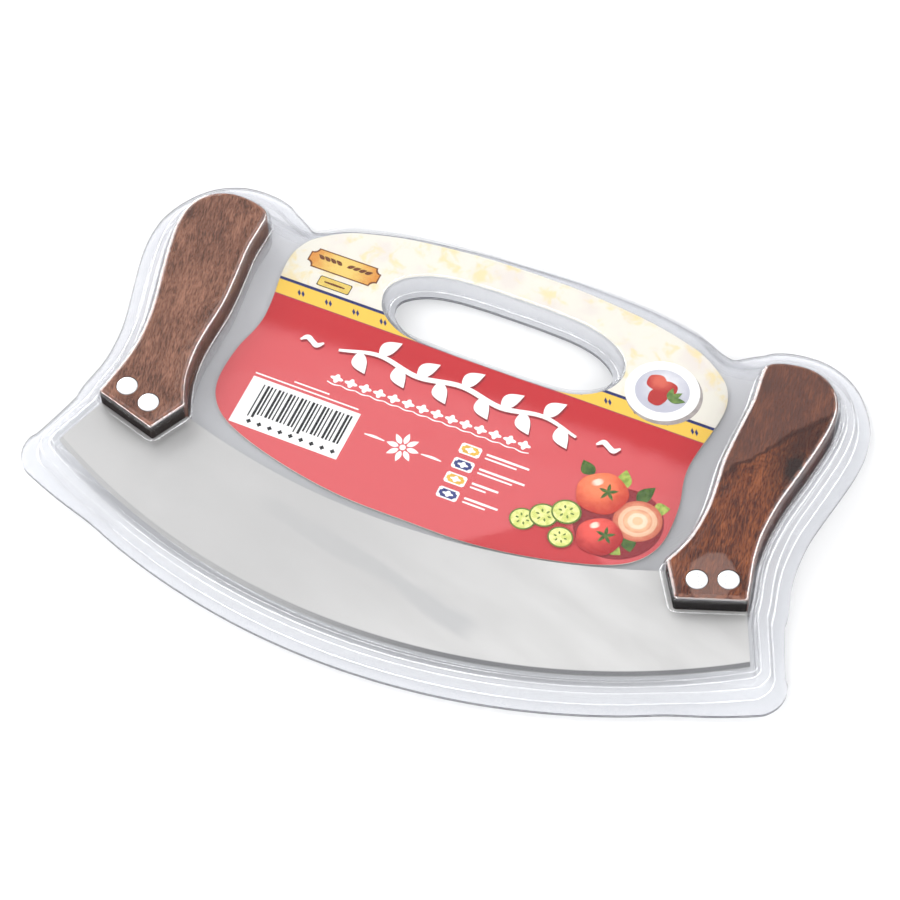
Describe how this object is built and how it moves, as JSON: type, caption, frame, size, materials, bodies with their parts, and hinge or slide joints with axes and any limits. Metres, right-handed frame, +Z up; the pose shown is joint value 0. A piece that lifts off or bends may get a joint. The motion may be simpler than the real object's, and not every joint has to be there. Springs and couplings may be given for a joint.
{
  "type": "two-handled rocking knife in display pack",
  "caption": "Two-handled rocking knife with a curved steel blade and wooden handles, held between clear formed shells with a card and a carry slot.",
  "frame": {"origin": "centre of the bounding box in plan, on the surface that the pack lies on", "axes": "+X along the blade from the left handle to the right, +Y from the cutting edge towards the handle tops, +Z up, out of the front shell"},
  "size_m": [0.277, 0.1752, 0.0191],
  "materials": {
    "blade": "satin polished steel, ground along the edge",
    "wood_left": "stained brown wood, worn at the edges",
    "wood_right": "stained red-brown wood with a knot",
    "rivets": "bright flush heads",
    "clear_front": "clear thermoformed sheet",
    "clear_back": "clear thermoformed sheet",
    "card": "printed card, red field and cream top"
  },
  "bodies": {
    "pack_back": {"back_shell": "clear_back"},
    "knife": {"blade": "blade", "handle_left": "wood_left", "handle_right": "wood_right", "rivet_left_outer_front": "rivets", "rivet_left_outer_back": "rivets", "rivet_left_inner_front": "rivets", "rivet_left_inner_back": "rivets", "rivet_right_outer_front": "rivets", "rivet_right_outer_back": "rivets", "rivet_right_inner_front": "rivets", "rivet_right_inner_back": "rivets"},
    "card": {"card_insert": "card"},
    "pack_front": {"front_shell": "clear_front"}
  },
  "joints": [
    {"name": "knife_lift", "type": "slide", "parent": "pack_back", "child": "knife", "axis": [0, 0, 1], "range_m": [0, 0.05]},
    {"name": "card_lift", "type": "slide", "parent": "knife", "child": "card", "axis": [0, 0, 1], "range_m": [0, 0.04]},
    {"name": "front_lift", "type": "slide", "parent": "card", "child": "pack_front", "axis": [0, 0, 1], "range_m": [0, 0.08]}
  ]
}
